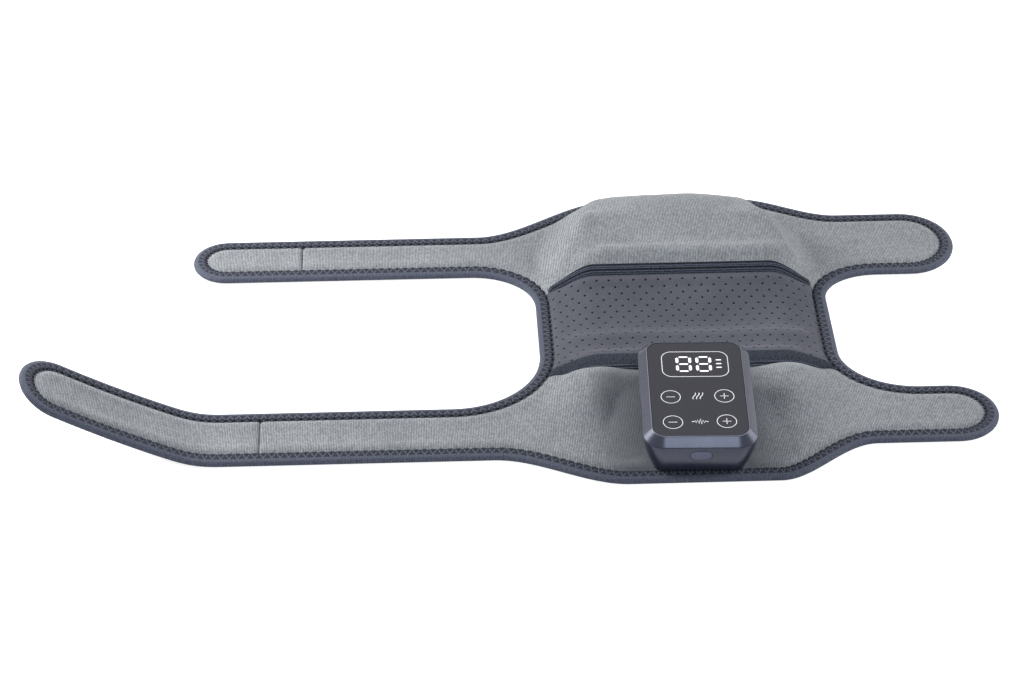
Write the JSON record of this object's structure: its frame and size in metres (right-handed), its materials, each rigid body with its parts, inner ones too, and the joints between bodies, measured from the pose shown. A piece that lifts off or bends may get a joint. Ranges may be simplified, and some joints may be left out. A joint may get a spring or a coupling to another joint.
{
  "type": "knee massager",
  "caption": "Fabric knee wrap with heated padded wings, a perforated knee panel, hook-and-loop straps and tabs, and a tilted controller with a display and touch keys.",
  "frame": {"origin": "under the middle of the knee panel, on the flat skin side that lies on the table", "axes": "+X towards the two short tabs, +Y towards the domed far wing, +Z out of the outer face with the controller"},
  "size_m": [0.5729, 0.301, 0.0534],
  "materials": {
    "loop_cloth": "ribbed loop cloth, matt",
    "mesh_cloth": "smooth perforated cloth, matt",
    "lining_cloth": "soft lining, matt",
    "tape_cloth": "ribbed elastic tape, matt",
    "binding_cloth": "folded edge tape with zigzag stitching",
    "hook_cloth": "hook side of a hook and loop fastener",
    "film": "thin film with heating tracks",
    "foam": "open-cell foam, matt",
    "black_plastic": "moulded, matt",
    "cable": "flat insulated cable",
    "steel": "plain",
    "case_shell": "satin metallic paint",
    "face": "semi-gloss",
    "display": "smoked window with lit segments",
    "board": "laminate",
    "cell": "shrink sleeve",
    "key": "satin"
  },
  "bodies": {
    "cover": {"near_wing_panel": "loop_cloth", "far_wing_panel": "loop_cloth", "knee_panel": "mesh_cloth", "near_wing_lining": "lining_cloth", "far_wing_lining": "lining_cloth", "knee_lining": "lining_cloth", "near_seam_tape": "tape_cloth", "far_seam_tape": "tape_cloth", "near_edge_binding": "binding_cloth", "far_edge_binding": "binding_cloth", "left_waist_binding": "binding_cloth", "right_waist_binding": "binding_cloth", "near_heating_film": "film", "far_heating_film": "film", "near_temperature_sensor": "black_plastic", "far_temperature_sensor": "black_plastic", "near_foam_pad": "foam", "far_foam_pad": "foam", "far_wing_cable": "cable", "near_film_lead": "cable", "left_motor_sleeve": "black_plastic", "left_motor_cap": "black_plastic", "left_motor_can": "steel", "right_motor_sleeve": "black_plastic", "right_motor_cap": "black_plastic", "right_motor_can": "steel", "bottom_case": "case_shell", "top_case": "case_shell", "touch_panel": "face", "display_module": "display", "touch_board": "board", "main_board": "board", "battery": "cell", "button_switch": "black_plastic", "charging_socket": "steel", "fixing_plate": "steel", "fixing_screw_1": "steel", "fixing_screw_2": "steel", "fixing_screw_3": "steel", "fixing_screw_4": "steel"},
    "near_strap": {"near_strap_panel": "loop_cloth", "near_strap_binding": "binding_cloth", "near_strap_lining": "lining_cloth", "near_strap_end_panel": "loop_cloth", "near_strap_hook_patch": "hook_cloth"},
    "far_strap": {"far_strap_panel": "loop_cloth", "far_strap_binding": "binding_cloth", "far_strap_lining": "lining_cloth", "far_strap_end_panel": "loop_cloth", "far_strap_hook_patch": "hook_cloth"},
    "near_tab": {"near_tab_panel": "loop_cloth", "near_tab_binding": "binding_cloth", "near_tab_lining": "lining_cloth"},
    "far_tab": {"far_tab_panel": "loop_cloth", "far_tab_binding": "binding_cloth", "far_tab_lining": "lining_cloth"},
    "left_rotor": {"left_motor_rotor": "steel"},
    "right_rotor": {"right_motor_rotor": "steel"},
    "power_key": {"power_button": "key"}
  },
  "joints": [
    {"name": "near_strap_bend", "type": "hinge", "parent": "cover", "child": "near_strap", "pos_m": [-0.15, -0.09925, 0.002], "axis": [0, 1, 0], "range_deg": [-80, 80]},
    {"name": "far_strap_bend", "type": "hinge", "parent": "cover", "child": "far_strap", "pos_m": [-0.15, 0.08825, 0.002], "axis": [0, 1, 0], "range_deg": [-80, 80]},
    {"name": "near_tab_bend", "type": "hinge", "parent": "cover", "child": "near_tab", "pos_m": [0.139, -0.0895, 0.002], "axis": [0, -1, 0], "range_deg": [-80, 80]},
    {"name": "far_tab_bend", "type": "hinge", "parent": "cover", "child": "far_tab", "pos_m": [0.139, 0.0935, 0.002], "axis": [0, -1, 0], "range_deg": [-80, 80]},
    {"name": "left_rotor_spin", "type": "hinge", "parent": "cover", "child": "left_rotor", "pos_m": [-0.035, 0.088, 0.015], "axis": [1, 0, 0], "continuous": true},
    {"name": "right_rotor_spin", "type": "hinge", "parent": "cover", "child": "right_rotor", "pos_m": [0.035, 0.088, 0.015], "axis": [1, 0, 0], "continuous": true},
    {"name": "power_button_press", "type": "slide", "parent": "cover", "child": "power_key", "axis": [0.0268, 0.9584, 0.2843], "range_m": [0, 0.0006], "stiffness_N_per_m": 2000, "springref_m": -0.0003}
  ]
}
